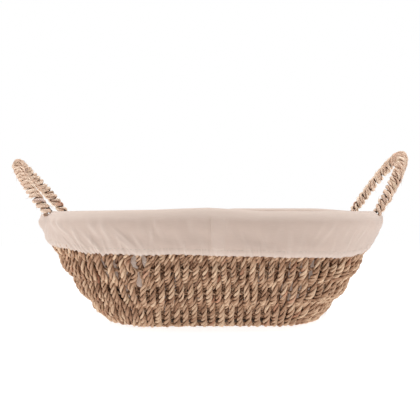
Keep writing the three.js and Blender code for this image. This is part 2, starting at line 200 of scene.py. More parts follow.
def tube_part(rings, along, shade, hue, closed=False):
    """The part for a tube: rings is (count, sides, 3) and along the distance at each ring."""
    count, sides, _ = rings.shape
    rows = np.arange(count if closed else count - 1)
    after = (rows + 1) % count
    cols = np.arange(sides)
    nxt = (cols + 1) % sides
    quads = np.stack([
        rows[:, None] * sides + cols, rows[:, None] * sides + nxt,
        after[:, None] * sides + nxt, after[:, None] * sides + cols,
    ], -1).reshape(-1, 4)
    step = along[1] - along[0]
    near, left = np.broadcast_arrays(along[rows][:, None], cols / sides)
    far, right = near + step, left + 1 / sides
    corners = ((near, left), (near, right), (far, right), (far, left))
    uv = np.stack([np.stack(corner, -1) for corner in corners], -2).reshape(-1, 2)
    # Each ply gets painted shade where it faces its neighbour and painted light on its outside.
    shades = per_side(shade, count, sides) + np.tile(painted_ply_shade(sides), count)
    return rings.reshape(-1, 3), quads, uv, shades, per_side(hue, count, sides)


def per_side(values, count, sides):
    """A value for every point of a tube, from one value or one for each ring."""
    return np.repeat(np.broadcast_to(values, (count,)), sides)


def painted_ply_shade(sides):
    """Painted shade on each ply where it faces its neighbour, and painted light on the rope's outside;
    threads are even.
    """
    if sides < PLY_SIDES:
        return np.zeros(sides)
    facing = np.cos(np.arange(sides) / sides * TURN)
    return 0.12 - 0.44 * smooth((0.35 - facing) / 1.2)


def sheet_quads(index):
    """The quads of a sheet whose points have these (rows, columns) numbers."""
    corners = [index[:-1, :-1], index[:-1, 1:], index[1:, 1:], index[1:, :-1]]
    return np.stack(corners, -1).reshape(-1, 4)


def grid_part(points, uv, shade, hue):
    """The part for a (rows, columns) sheet of points; uv is per point."""
    rows, cols, _ = points.shape
    quads = sheet_quads(np.arange(rows * cols).reshape(rows, cols))
    corner_uv = uv.reshape(-1, 2)[quads].reshape(-1, 2)
    return points.reshape(-1, 3), quads, corner_uv, shade.ravel(), hue.ravel()


def unit(v):
    return v / np.maximum(np.linalg.norm(v, axis=-1, keepdims=True), 1e-9)


def tangents(path, closed=False):
    if closed:
        return unit(np.roll(path, -1, 0) - np.roll(path, 1, 0))
    return unit(np.gradient(path, axis=0))


def lengths(path):
    """The distance along a path at each of its points."""
    return np.concatenate([[0], np.cumsum(np.linalg.norm(np.diff(path, axis=0), axis=1))])


def even(path, step, closed=False):
    """The same path with points `step` apart."""
    if closed:
        path = np.concatenate([path, path[:1]])
    s = lengths(path)
    count = max(int(s[-1] / step), 3)
    places = np.linspace(0, s[-1], count, endpoint=not closed)
    return resample(path, s, places)


def resample(values, along, places):
    """The columns of `values`, given at distances `along`, at these other places."""
    return np.stack([np.interp(places, along, column) for column in values.T], -1)


def plies(path, normal, size, random, closed=False, tight=0.10, girth=1.0):
    """The rings of each ply of a laid rope along a path, and the distance at each ring."""
    tangent = tangents(path, closed)
    normal = unit(normal - tangent * (normal * tangent).sum(-1, keepdims=True))
    across = np.cross(tangent, normal)
    along = lengths(path)
    step = along[-1] / (len(path) - 1)
    count = len(path)
    rate = TURN * step / size["lay"] * (1 + 0.28 * wander(count, 26 / step, random))
    phase = np.cumsum(np.broadcast_to(rate, (count,)))
    if closed:
        phase *= round(phase[-1] / TURN) * TURN / phase[-1]
    theta = np.arange(PLY_SIDES) / PLY_SIDES * TURN
    result = []
    for ply in range(size["plies"]):
        turn = phase + ply * TURN / size["plies"] + tight * 2 * wander(count, 9 / step, random)
        out = np.cos(turn)[:, None] * normal + np.sin(turn)[:, None] * across
        side = -np.sin(turn)[:, None] * normal + np.cos(turn)[:, None] * across
        fat = 1 + 0.2 * wander(count, 12 / step, random) + 0.08 * wander(count, 4 / step, random)
        fat = fat * girth
        offset = size["offset"] * girth * (1 + 0.06 * wander(count, 11 / step, random))
        centre = path + out * offset[:, None]
        ring = (
            centre[:, None]
            + (out * (size["radial"] * fat)[:, None])[:, None] * np.cos(theta)[:, None]
            + (side * (size["across"] * fat)[:, None])[:, None] * np.sin(theta)[:, None]
        )
        result.append(ring)
    return result, along


def close_ends(rings):
    """Draws both ends of a tube in to nearly a point."""
    first = rings[0].mean(0)
    last = rings[-1].mean(0)
    tip = first + (rings[:1] - first) * TIP_SHARE
    tail = last + (rings[-1:] - last) * TIP_SHARE
    return np.concatenate([tip, rings, tail])


def open_tube(rings, along, shade, hue):
    """The part for a tube with closed ends; shade and hue have a value for each ring."""
    step = along[1] - along[0]
    along = np.concatenate([[along[0] - step], along, [along[-1] + step]])
    return tube_part(close_ends(rings), along, np.pad(shade, 1, "edge"), np.pad(hue, 1, "edge"))


def round_rings(path, normal, across, radius, sides):
    """Round rings along a path; the radius is one value or one for each point."""
    theta = np.arange(sides) / sides * TURN
    circle = normal[:, None] * np.cos(theta)[:, None] + across[:, None] * np.sin(theta)[:, None]
    return path[:, None] + np.reshape(radius, (-1, 1, 1)) * circle


def fibres(starts, directions, outward, random, length, radius):
    """Thin curved hairs that leave the rope at these points."""
    parts = []
    for start, direction, out in zip(starts, directions, outward):
        long = random.uniform(0.4, 1) * length
        t = np.linspace(0, 1, FIBRE_POINTS)[:, None]
        sideways = np.cross(direction, out)
        bend = random.normal(0, 0.35)
        path = start + long * (
            t * (direction * 0.8 + sideways * random.normal(0, 0.45))
            + out * (0.55 * t * random.uniform(0.1, 1)) + sideways * bend * t * t
            + np.array([0, 0, -0.15]) * t * t
        )
        tangent = tangents(path)
        n = unit(np.cross(tangent, out + 0.01))
        b = np.cross(tangent, n)
        rings = round_rings(path, n, b, radius * (1 - 0.75 * t[:, 0]), 3)
        along = np.linspace(0, long, len(path))
        parts.append(tube_part(rings, along, random.uniform(0.45, 1.0), random.uniform(0, 1)))
    return parts


# ---- Materials ----

WHITE = (1, 1, 1)
# The tints of the odd strands: red, pink, green and mauve.
ODD = [(0.82, 0.62, 0.58), (0.92, 0.80, 0.78), (0.88, 0.91, 0.86), (0.80, 0.78, 0.86)]


def material(name):
    made = bpy.data.materials.new(name)
    made.use_nodes = True
    made.node_tree.nodes.clear()
    return made, made.node_tree


def node(tree, kind, links=None, values=None, **settings):
    """Adds a node, sets its properties, sets socket values and links its inputs."""
    made = tree.nodes.new(kind)
    for key, value in settings.items():
        setattr(made, key, value)
    for key, value in (values or {}).items():
        made.inputs[key].default_value = value
    for key, source in (links or {}).items():
        tree.links.new(source, made.inputs[key])
    return made


def ramp(tree, source, stops):
    made = node(tree, "ShaderNodeValToRGB", {"Fac": source})
    band = made.color_ramp
    while len(band.elements) < len(stops):
        band.elements.new(0.5)
    for element, (place, colour) in zip(band.elements, stops):
        element.position = place
        element.color = (*colour, 1)
    return made.outputs["Color"]


def maths(tree, operation, a, b, clamp=False):
    made = node(tree, "ShaderNodeMath", operation=operation, use_clamp=clamp)
    for socket, value in zip(made.inputs, (a, b)):
        if isinstance(value, (int, float)):
            socket.default_value = value
        else:
            tree.links.new(value, socket)
    return made.outputs[0]


def about_zero(tree, source, gain):
    """(source - 0.5) * gain: a noise turned into a change up or down."""
    values = {1: gain, 2: -gain / 2}
    return node(tree, "ShaderNodeMath", {0: source}, values, operation="MULTIPLY_ADD").outputs[0]


def noise(tree, place, scale, detail, roughness=0.5, stretch=None):
    """A noise texture's value at this place, which can be stretched first."""
    if stretch:
        place = node(tree, "ShaderNodeMapping", {"Vector": place}, {"Scale": stretch}).outputs[0]
    values = {"Scale": scale, "Detail": detail, "Roughness": roughness}
    return node(tree, "ShaderNodeTexNoise", {"Vector": place}, values).outputs["Fac"]


def attribute(tree, title):
    return node(tree, "ShaderNodeAttribute", attribute_name=title).outputs["Fac"]


def mix_colour(tree, factor, a, b, blend="MIX"):
    made = node(tree, "ShaderNodeMix", data_type="RGBA", blend_type=blend)
    for socket, value in ((made.inputs[0], factor), (made.inputs[6], a), (made.inputs[7], b)):
        if isinstance(value, (int, float)):
            socket.default_value = value
        elif isinstance(value, tuple):
            socket.default_value = (*value, 1)
        else:
            tree.links.new(value, socket)
    return made.outputs[2]


def srgb(r, g, b):
    """Linear colour for an sRGB colour given from 0 to 255."""
    parts = (r / 255, g / 255, b / 255)
    return tuple(c / 12.92 if c <= 0.04045 else ((c + 0.055) / 1.055) ** 2.4 for c in parts)


def seagrass(name, dark, middle, light, grain):
    """Dried, twisted leaf: long streaks along each ply, blotches, and a few odd-coloured strands."""
    made, tree = material(name)
    uv = node(tree, "ShaderNodeUVMap", uv_map="uv").outputs["UV"]
    place = node(tree, "ShaderNodeTexCoord").outputs["Object"]
    streaks = noise(tree, uv, 1.6, 4.0, 0.6, stretch=(0.16, 9.0, 1.0))
    fine = noise(tree, uv, 1.3, 3.0, 0.65, stretch=(0.35, 26.0, 1.0))
    blotch = noise(tree, place, 260.0, 3.0, 0.6)
    large = noise(tree, place, 28.0, 2.0)
    # The shade attribute holds random tone together with painted light and shade.
    value = maths(tree, "ADD", about_zero(tree, streaks, 1.0), attribute(tree, "shade"))
    value = maths(tree, "ADD", value, about_zero(tree, fine, grain))
    value = maths(tree, "ADD", value, about_zero(tree, large, 0.35), clamp=True)
    colour = ramp(tree, value, [(0.05, dark), (0.5, middle), (0.95, light)])
    odd_stops = [(0.0, ODD[0]), (0.06, ODD[1]), (0.10, WHITE), (0.90, WHITE), (0.94, ODD[2]), (1.0, ODD[3])]
    odd = ramp(tree, attribute(tree, "hue"), odd_stops)
    colour = mix_colour(tree, 1.0, colour, odd, "MULTIPLY")
    speck = ramp(tree, blotch, [(0.28, (0.55, 0.45, 0.38)), (0.42, WHITE)])
    colour = mix_colour(tree, 0.55, colour, speck, "MULTIPLY")
    ridge = maths(tree, "ADD", maths(tree, "MULTIPLY", streaks, 0.7), fine)
    bump = node(tree, "ShaderNodeBump", {"Height": ridge}, {"Strength": 0.85, "Distance": 0.0006})
    shader = node(
        tree, "ShaderNodeBsdfPrincipled", {"Base Color": colour, "Normal": bump.outputs[0]},
        {"Roughness": 0.62, "Specular IOR Level": 0.28},
    )
    node(tree, "ShaderNodeOutputMaterial", {"Surface": shader.outputs[0]})
    return made


def cotton(name, base, light):
    """Plain-woven, washed cotton: fine threads and soft blotches; `hue` is how see-through it is."""
    made, tree = material(name)
    uv = node(tree, "ShaderNodeUVMap", uv_map="uv").outputs["UV"]
    place = node(tree, "ShaderNodeTexCoord").outputs["Object"]
    noisy = node(tree, "ShaderNodeTexNoise", {"Vector": uv}, {"Scale": 0.35, "Detail": 2.0})
    wobble = noisy.outputs["Color"]
    slight = node(tree, "ShaderNodeVectorMath", {0: wobble}, {1: (0.6, 0.6, 0)}, operation="MULTIPLY")
    moved = node(tree, "ShaderNodeVectorMath", {0: uv, 1: slight.outputs[0]}, operation="ADD")
    waves = []
    for direction in ("X", "Y"):
        waves.append(node(
            tree, "ShaderNodeTexWave", {"Vector": moved.outputs[0]},
            {"Scale": 0.42, "Distortion": 0.6, "Detail": 1.0, "Detail Scale": 2.0},
            wave_type="BANDS", bands_direction=direction, wave_profile="SIN",
        ).outputs["Fac"])
    threads = maths(tree, "MAXIMUM", waves[0], waves[1])
    slubs = noise(tree, uv, 1.0, 3.0, stretch=(0.12, 1.6, 1.0))
    blotch = noise(tree, place, 45.0, 4.0, 0.6)
    soft = ramp(tree, blotch, [(0.3, tuple(c * 0.94 for c in base)), (0.7, base)])
    # The shade attribute, which holds painted light and shade, lifts the colour towards the lighter one.
    colour = mix_colour(tree, attribute(tree, "shade"), soft, light)
    # Painted shade in the gaps between the threads.
    thread_gap_shade = ramp(tree, threads, [(0.0, (0.86, 0.84, 0.82)), (0.7, WHITE)])
    colour = mix_colour(tree, 0.6, colour, thread_gap_shade, "MULTIPLY")
    slub_tint = ramp(tree, slubs, [(0.35, (0.95, 0.94, 0.93)), (0.65, WHITE)])
    colour = mix_colour(tree, 0.7, colour, slub_tint, "MULTIPLY")
    height = maths(tree, "ADD", threads, maths(tree, "MULTIPLY", slubs, 1.2))
    bump = node(tree, "ShaderNodeBump", {"Height": height}, {"Strength": 0.35, "Distance": 0.00015})
    cloth = node(
        tree, "ShaderNodeBsdfPrincipled", {"Base Color": colour, "Normal": bump.outputs[0]},
        {"Roughness": 0.9, "Specular IOR Level": 0.12, "Sheen Weight": 0.25, "Sheen Roughness": 0.6},
    )
    glow = node(tree, "ShaderNodeBsdfTranslucent", {"Color": colour, "Normal": bump.outputs[0]})
    share = maths(tree, "ADD", maths(tree, "MULTIPLY", attribute(tree, "hue"), 0.6), 0.22)
    both = node(tree, "ShaderNodeMixShader", {0: share, 1: cloth.outputs[0], 2: glow.outputs[0]})
    node(tree, "ShaderNodeOutputMaterial", {"Surface": both.outputs[0]})
    return made


def plain(name, colour, roughness, metallic=0.0, grain=400.0):
    """A simple finish with a fine grain in colour and relief."""
    made, tree = material(name)
    place = node(tree, "ShaderNodeTexCoord").outputs["Object"]
    grains = noise(tree, place, grain, 4.0)
    tone = ramp(tree, grains, [(0.3, tuple(c * 0.7 for c in colour)), (0.7, colour)])
    bump = node(tree, "ShaderNodeBump", {"Height": grains}, {"Strength": 0.4, "Distance": 0.0001})
    shader = node(
        tree, "ShaderNodeBsdfPrincipled", {"Base Color": tone, "Normal": bump.outputs[0]},
        {"Roughness": roughness, "Metallic": metallic},
    )
    node(tree, "ShaderNodeOutputMaterial", {"Surface": shader.outputs[0]})
    return made


rope_finish = seagrass(
    "seagrass_rope", srgb(96, 58, 36), srgb(190, 148, 118), srgb(242, 210, 178), grain=0.8,
)
wrap_finish = seagrass(
    "seagrass_wrap", srgb(140, 100, 76), srgb(222, 188, 164), srgb(250, 228, 206), grain=0.4,
)
cloth_finish = cotton("cotton_cloth", srgb(221, 199, 186), srgb(243, 227, 216))
thread_finish = plain("cotton_thread", srgb(235, 222, 210), 0.8)
elastic_finish = plain("elastic_band", srgb(238, 232, 224), 0.7)
steel_finish = plain("frame_steel", srgb(92, 76, 64), 0.6, metallic=0.5, grain=900.0)


# ---- Woven ropes ----

LEG_STATIONS = np.concatenate([
    part + (np.arange(LEGS[kind]) + 0.5) / LEGS[kind]
    for part, kind in enumerate(("side", "end", "side", "end"))
])
# Where the weave has loosened at the front left: x, z and half the gap (mm).
OPENINGS = [(-81.4, 72, 5.8), (-71.0, 72, 5.3), (-76.8, 49, 5.6)]
# Heights of the wires and rounds that every leg passes, inside or outside.
WALL_LINES = [BASE_WIRE["height"], *WEFT_HEIGHTS, RIM_WIRE["height"]]


def leg_rows(up):
    """Heights down one leg and how far outside it is, 0 to 1; `up` legs are inside at the rim."""
    heights = np.linspace(RIM_WIRE["height"], BASE_WIRE["height"], 126)
    outside = np.array([0, 0, 1, 0, 1, 0]) if up else np.array([1, 1, 0, 1, 0, 1])
    place = np.interp(heights, WALL_LINES, np.arange(len(WALL_LINES)))
    low = np.minimum(place.astype(int), len(WALL_LINES) - 2)
    share = smooth(place - low)
    return heights, outside[low] + (outside[low + 1] - outside[low]) * share


def rope_path():
    """The zigzag of all the legs, as stations, (radius, height) points and the leg of each point."""
    stations, profile, owners = [], [], []
    count = len(LEG_STATIONS)
    base_centre, base_in = wall(BASE_WIRE["height"] + 0.7, BASE_WIRE["depth"] + 1.2)
    rim_centre, rim_in = wall(RIM_WIRE["height"], RIM_WIRE["depth"] - 1.5)
    for k, station in enumerate(LEG_STATIONS):
        heights, outside = leg_rows(k % 2 == 1)
        reach = rng.normal(0, 0.4, len(WEFT_HEIGHTS) + 2)
        reach = np.interp(heights, WALL_LINES, reach)
        shift = rng.normal(0, 1.0)
        swing = 5.6 + 2.2 * smooth((heights - 6) / 14)
        depth = WEFT_DEPTH + (0.5 - outside) * swing * (1 + 0.04 * rng.normal()) + reach
        rim_share = smooth((heights - 95) / (RIM_WIRE["height"] - 95))
        rim_depth = np.where(outside > 0.5, RIM_WIRE["depth"] - 4.2, RIM_WIRE["depth"] + 1.3)
        depth = depth + (rim_depth - depth) * rim_share
        moved = heights + shift * np.sin(np.pi * np.clip((heights - 3.4) / 109, 0, 1))
        points = wall(moved, depth)[0]
        wobble = rng.normal(0, 0.3) + 0.75 * wander(len(heights), 24, rng)
        next_station = LEG_STATIONS[(k + 1) % count] + (4 if k == count - 1 else 0)
        radius_here = points[:, 0]
        per_mm = np.where((station % 2) < 1, 1 / (2 * STRAIGHT_HALF), 1 / (math.pi * radius_here))
        u = station + wobble * per_mm
        if k % 2 == 1:
            points, u = points[::-1], u[::-1]
        stations.append(u)
        profile.append(points)
        owners.append(np.full(len(u), k))
        turns = np.linspace(0, 1, 14)[1:-1]
        angle = turns * math.pi
        centre, inward = (base_centre, base_in) if k % 2 == 0 else (rim_centre, rim_in)
        along = np.array([inward[1], -inward[0]]) * (-1 if k % 2 == 0 else 1)
        first = points[-1] - centre
        radius = BASE_LOOP_RADIUS if k % 2 == 0 else RIM_LOOP_RADIUS
        toward = first / np.linalg.norm(first)
        loop = centre + radius * (np.cos(angle)[:, None] * toward + np.sin(angle)[:, None] * along)
        stations.append(u[-1] + (next_station - u[-1]) * smooth(turns))
        profile.append(loop)
        owners.append(np.where(turns < 0.5, k, min(k + 1, count - 1)))
    return np.concatenate(stations), np.concatenate(profile), np.concatenate(owners)


def spread_apart(path):
    """Pushes the ropes aside where the weave has loosened and the liner shows through."""
    front = path[:, 1] < 0
    for x, z, half_gap in OPENINGS:
        gap = path[:, 0] - x
        keep_out = half_gap * np.exp(-((path[:, 2] - z) / 9.0) ** 2)
        apart = np.sign(gap) * (np.abs(gap) ** 3 + keep_out ** 3) ** (1 / 3)
        path[:, 0] += np.where(front, apart - gap, 0)
    return path


def weave_panels():
    """The upright ropes: one piece for the legs between each two ribs."""
    u, profile, owner = rope_path()
    path = around(u, profile[:, 0], profile[:, 1])
    path = spread_apart(path)
    _, nx, ny = plan(u)
    slope = unit(np.gradient(profile, axis=0))
    normal = np.stack([-slope[:, 1] * nx, -slope[:, 1] * ny, slope[:, 0]], -1)
    for _ in range(2):
        path[1:-1] = (path[:-2] + 2 * path[1:-1] + path[2:]) / 4
    girth = 1 - 0.45 * smooth((path[:, 2] - 98) / 12) + 0.2 * smooth((12 - path[:, 2]) / 8)
    girth = girth * (1 + 0.12 * end_share(u)) * (1 + 0.05 * wander(len(path), 40, rng))
    rings, along = plies(path, normal, ROPE, rng, tight=0.12, girth=girth)
    count = len(path)
    depth = wall_depth(profile)
    # Painted shade deeper in the wall, and painted light near the foot as from the floor.
    painted_light_and_shade = -0.22 * smooth((depth - 4.5) / 4.5)
    painted_light_and_shade = painted_light_and_shade + 0.07 * smooth((30 - path[:, 2]) / 25)
    # Each ply's tone: random tone plus the painted light and shade.
    tone = [0.54 + painted_light_and_shade + 0.09 * wander(count, 160, rng) + 0.3 * wander(count, 11, rng) for _ in rings]
    hue = [0.5 + 0.5 * wander(count, 24, rng) for _ in rings]
    panel_of_leg = np.searchsorted(RIB_STATIONS, LEG_STATIONS, side="right") - 1
    panel = panel_of_leg[owner]
    for index, name in enumerate(PANELS):
        rows = np.flatnonzero(panel == index)
        parts = [
            open_tube(ring[rows], along[rows], t[rows], h[rows])
            for ring, t, h in zip(rings, tone, hue)
        ]
        picked = rng.choice(rows[3:-3], FIBRES_PER_LEG * len(set(owner[rows])))
        ply = rng.integers(0, ROPE["plies"], len(picked))
        side = rng.integers(0, PLY_SIDES, len(picked))
        starts = np.stack([rings[p][i, s] for p, i, s in zip(ply, picked, side)])
        out = unit(starts - path[picked])
        radial = np.stack([nx[picked], ny[picked], np.full(len(picked), -0.2)], -1)
        keep = (out * radial).sum(-1) > 0.2
        heading = tangents(path)[picked] * rng.choice([-1, 1], len(picked))[:, None]
        starts, heading, out = starts[keep], heading[keep], out[keep]
        thick = len(starts) // 3
        parts += fibres(starts[thick:], heading[thick:], out[thick:], rng, 8.5, 0.19)
        parts += fibres(starts[:thick], heading[:thick], 0.35 * out[:thick], rng, 8.0, 0.42)
        piece = make_mesh(f"ropes_{name}", parts, rope_finish)
        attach(piece, "root")
        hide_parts(f"side_weave_{name}")


def ring_rope(radius, height, size):
    """The parts of a closed, laid rope round the oval."""
    u = np.linspace(0, 4, 1200, endpoint=False)
    path = even(around(u, radius, height), 1.4, closed=True)
    middle_x = np.clip(path[:, 0], -STRAIGHT_HALF, STRAIGHT_HALF)
    centre = np.stack([middle_x, 0 * middle_x, path[:, 2]], -1)
    rings, along = plies(path, unit(path - centre), size, rng, closed=True)
    parts = []
    for ring in rings:
        shade = 0.5 + 0.2 * closed_wander(len(along), 30)
        hue = 0.5 + 0.4 * closed_wander(len(along), 50)
        parts.append(tube_part(ring, along, shade, hue, closed=True))
    return parts


def closed_wander(count, turns):
    """A smooth random run of values that ends as it starts."""
    angle = np.arange(count) / count * TURN
    waves = rng.integers(2, turns, 6)
    total = sum(np.sin(angle * k + rng.uniform(0, TURN)) / math.sqrt(6) for k in waves)
    return np.clip(total, -1, 1)


def weft_ropes():
    """The horizontal rounds that the legs are woven over."""
    for number, height in enumerate(WEFT_HEIGHTS, 1):
        (radius, level), _ = wall(height, WEFT_DEPTH)
        piece = make_mesh(f"weft_round_{number}", ring_rope(radius, level, WEFT_ROPE), rope_finish)
        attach(piece, "root")
        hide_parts(f"weft_rope_{number}")


def lashing(x, y):
    """One turn of twine that ties a round of the mat to the cross wire over it."""
    angle = np.linspace(0, TURN, 20, endpoint=False)
    lean = rng.uniform(0.5, 0.9) * rng.choice([-1, 1])
    across = np.array([math.sin(lean), math.cos(lean), 0])
    up = np.array([0, 0, 1])
    path = np.array([x, y, 5.4]) + 3.6 * np.cos(angle)[:, None] * across + 4.7 * np.sin(angle)[:, None] * up
    tangent = tangents(path, True)
    n = unit(np.cross(tangent, np.cross(across, up)))
    rings = round_rings(path, n, np.cross(tangent, n), 0.55, 6)
    return tube_part(rings, np.arange(len(path)) * 1.3, 0.75, 0.5, closed=True)


def base_rounds():
    """The mat under the base: rounds of rope, tied to the cross wires over them."""
    parts = []
    pitch = 5.3
    height = 3.35
    for k in range(9):
        radius = pitch / 2 + pitch * k
        parts += ring_rope(radius, height, ROPE)
        for x in (-STRAIGHT_HALF, 0, STRAIGHT_HALF):
            for y in (-radius, radius):
                parts.append(lashing(x, y))
    piece = make_mesh("base_rounds", parts, rope_finish)
    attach(piece, "root")
    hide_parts("base_mat")


# ---- Handles ----

def handle_path(side, rise_to, lean):
    """The middle of a handle, from foot to foot with short legs below, and the way out of its plane."""
    turn = np.linspace(0, math.pi, 900)
    power = 2 / HANDLE_ROUNDNESS
    across = -HANDLE_FOOT["y"] * np.sign(np.cos(turn)) * np.abs(np.cos(turn)) ** power
    rise = rise_to * np.abs(np.sin(turn)) ** power
    lean = math.radians(lean)
    away = side * (HANDLE_FOOT["x"] + rise * math.sin(lean))
    arch = np.stack([away, across, HANDLE_FOOT["z"] + rise * math.cos(lean)], -1)
    foot = np.array([-side * math.sin(lean) * 0.6, 0, -math.cos(lean)]) * 3.2
    below = np.linspace(1, 0, 10, endpoint=False)[:, None]
    path = np.concatenate([arch[0] + foot * below, arch, arch[-1] + foot * below[::-1]])
    path = even(path, 0.8)
    out = np.array([side * math.cos(lean), 0, -math.sin(lean)])
    return path, out


def handle_wrap(side, name):
    """Two strands of twine wound round and round the handle's wire."""
    path, plane = handle_path(side, HANDLE_RISE[name], HANDLE_LEAN[name])
    front = smooth(-path[:, 1] / 50) * (side < 0)
    path = path + (1 + front)[:, None] * np.array([HANDLE_SHIFT[name], 0, 0])
    along = lengths(path)
    tangent = tangents(path)
    normal = np.broadcast_to(plane, path.shape)
    across = np.cross(tangent, normal)
    strands = 2
    turns = along[-1] / COIL_PITCH / strands
    count = int(turns * TURN * COIL_RADIUS / 0.9)
    place = np.linspace(0, along[-1], count)
    ends = smooth(place / 25) * smooth((along[-1] - place) / 25)
    middle = resample(path, along, place)
    normal = resample(normal, along, place)
    across = resample(across, along, place)
    parts = []
    for strand in range(strands):
        spin = -np.linspace(0, turns * TURN, count) + strand * math.pi + 0.55 * wander(count, 60, rng)
        out = np.cos(spin)[:, None] * normal + np.sin(spin)[:, None] * across
        radius = COIL_RADIUS + 0.45 * wander(count, 34, rng) + 0.25 * wander(count, 9, rng)
        coil = middle + out * (radius * (0.84 + 0.16 * ends))[:, None]
        girth = 0.9 + 0.12 * ends + 0.1 * wander(count, 40, rng)
        rings, length = plies(coil, out, TWINE, rng, tight=0.3, girth=girth)
        for ring in rings:
            tone = 0.52 + 0.12 * wander(count, 70, rng) + 0.14 * wander(count, 14, rng)
            # Painted light: the back legs are painted paler than the front ones.
            tone = tone + 0.16 * smooth(coil[:, 1] / 45)
            hue = 0.5 + 0.5 * wander(count, 30, rng) + 0.12 * smooth(-coil[:, 1] / 45)
            parts.append(open_tube(ring, length, tone, hue))
        picked = rng.choice(np.arange(5, count - 5), 150)
        roots = np.stack([
            rings[rng.integers(0, TWINE["plies"])][i, rng.integers(0, PLY_SIDES)] for i in picked
        ])
        outward = unit(roots - middle[picked])
        heading = tangents(coil)[picked] * rng.choice([-1, 1], len(picked))[:, None]
        parts += fibres(roots, heading, outward, rng, 6.5, 0.17)
    piece = make_mesh(f"handle_twine_{name}", parts, wrap_finish)
    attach(piece, "root")
    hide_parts(f"handle_wrap_{name}")


# ---- Cotton liner ----

LINER_DEPTH = WALL_THICKNESS + 0.7
CASING_DEPTH = 2.2
FRONT_SEAM = 0.44
# How far the front of the rim's cloth stands up, and the hem is lifted, by station (mm).
FRONT_RISE = ([0, 0.2, 0.42, 0.62, 0.85, 3.7, 3.9, 4], [1.5, 2.5, 3.4, 2.0, 0, 0, 0.8, 1.5])
HEM_LINE = (
    [0, 0.2, 0.42, 0.86, 1.2, 1.28, 1.38, 1.6, 2.0, 2.6, 3.1, 3.35, 3.5, 3.65, 3.71, 3.8, 3.94, 4.0],
    [3.6, 3.8, 2.7, 2.0, -1.0, 0.5, 4.0, 4.5, 2.0, 0, 2.0, 7.0, 10.0, 10.0, 8.6, 4.9, 3.8, 3.6],
)


def cuff_point(height, inset=0.0):
    """(radius, height) of the cuff's outside at this height, or of a point this far inside it."""
    drops = [WEAVE_HEIGHT - drop for drop, _ in CUFF_BILLOW][::-1]
    offs = [off for _, off in CUFF_BILLOW][::-1]
    return wall(height, inset - np.interp(height, drops, offs))[0]


def liner_profile():
    """The cloth from the floor seam up the inside, over the rim, down the cuff and up into the hem."""
    inside = [wall(h, LINER_DEPTH)[0] for h in np.linspace(1, 112.5, 9)]
    shoulder = wall(115.3, LINER_DEPTH)[0]
    top = wall(WEAVE_HEIGHT, 0)[0][0]
    over = (shoulder[0] + top) / 2
    crown = [(shoulder[0] + 1.8, LINER_TOP - 0.6), (over, LINER_TOP), (top - 1, LINER_TOP - 0.1)]
    cuff = [cuff_point(WEAVE_HEIGHT - drop) for drop, _ in CUFF_BILLOW]
    hem = WEAVE_HEIGHT - HEM_DROP
    turn = cuff_point(hem, CASING_DEPTH / 2) - np.array([0, CASING_DEPTH / 2])
    casing = [cuff_point(hem + h, CASING_DEPTH) for h in (0, HEM_CASING / 2, HEM_CASING)]
    path = np.array([*inside, shoulder, *crown, *cuff, turn, *casing], float)
    for _ in range(3):
        quarter = path[:-1] * 0.75 + path[1:] * 0.25
        three = path[:-1] * 0.25 + path[1:] * 0.75
        path = np.concatenate([path[:1], np.stack([quarter, three], 1).reshape(-1, 2), path[-1:]])
    return path


PROFILE = liner_profile()
PROFILE_S = lengths(PROFILE)


def profile_at(s):
    """(radius, height) at this distance along the liner's profile, and the direction square to it."""
    point = resample(PROFILE, PROFILE_S, s)
    along = unit(resample(PROFILE, PROFILE_S, s + 0.4) - resample(PROFILE, PROFILE_S, s - 0.4))
    return point, np.stack([-along[..., 1], along[..., 0]], -1)


# Distances along the profile to the lowest point of the cuff and to the slits' line on the rim.
HEM_PLACE = PROFILE_S[np.argmin(PROFILE[:, 1] + 1000 * (PROFILE_S < 150))]
CROWN_PLACE = PROFILE_S[np.argmin(np.abs(PROFILE - (124.0, LINER_TOP)).sum(1))]


def oval_distance(u, radius):
    """Distance along the oval of this radius, from station 0."""
    u = np.asarray(u, float)
    whole = np.floor(u)
    share = u - whole
    side = 2 * STRAIGHT_HALF
    end = math.pi * radius
    before = np.floor((whole + 1) / 2) * side + np.floor(whole / 2) * end
    return before + share * np.where(np.mod(whole, 2) < 1, side, end)


STITCH = 2.9
SLIT_HALF_ANGLE = 31.0
# The least half opening at which the two edges of a slit are parted.
SLIT_CLOSED = 1e-4
CUFF_RADIUS = 122.0
CUFF_LENGTH = oval_distance(4.0, CUFF_RADIUS)


def round_gap(distance):
    """A distance along the cuff's oval as the shorter way round, forward or back."""
    return (distance + CUFF_LENGTH / 2) % CUFF_LENGTH - CUFF_LENGTH / 2


def pleat_field(s, up):
    """Height of the cuff's pleats at distance s along the hem and `up` from it, both in mm."""
    random = np.random.default_rng(5)
    field = np.zeros(np.broadcast(s, up).shape)
    place = 0.0
    while place < CUFF_LENGTH:
        station = place / CUFF_LENGTH * 4
        end = end_share(station)
        place += random.uniform(3.8, 7.4) * (1 if end > 0.3 else 1.25)
        width = random.uniform(0.8, 1.8)
        reach = random.uniform(8, 22) * (1 + 1.1 * end * random.uniform(0, 1))
        height = random.uniform(0.4, 1.15) * (0.7 + 1.5 * end)
        lean = random.normal(0, 0.12) + drag(station) * end
        gap = round_gap(s - place - lean * up)
        fade = np.clip(1 - up / reach, 0, 1) ** 1.3
        field += height * np.exp(-(gap / width) ** 2) * fade
    return field


def drag(u):
    """Which way the folds of the cuff lean: outward and up on both sides of each end."""
    return np.interp(np.mod(u, 2), [0, 0.5, 1, 1.45, 1.55, 2], [-0.35, 0, 0.35, 0.35, -0.35, -0.35])


def end_share(u):
    """Near 0 along the sides, 1 in the round ends."""
    stations = [0, 0.12, 0.88, 1.04, 1.24, 1.72, 1.92, 2]
    return np.interp(np.mod(u, 2), stations, [0.25, 0.12, 0.12, 0.25, 1, 1, 0.4, 0.25])


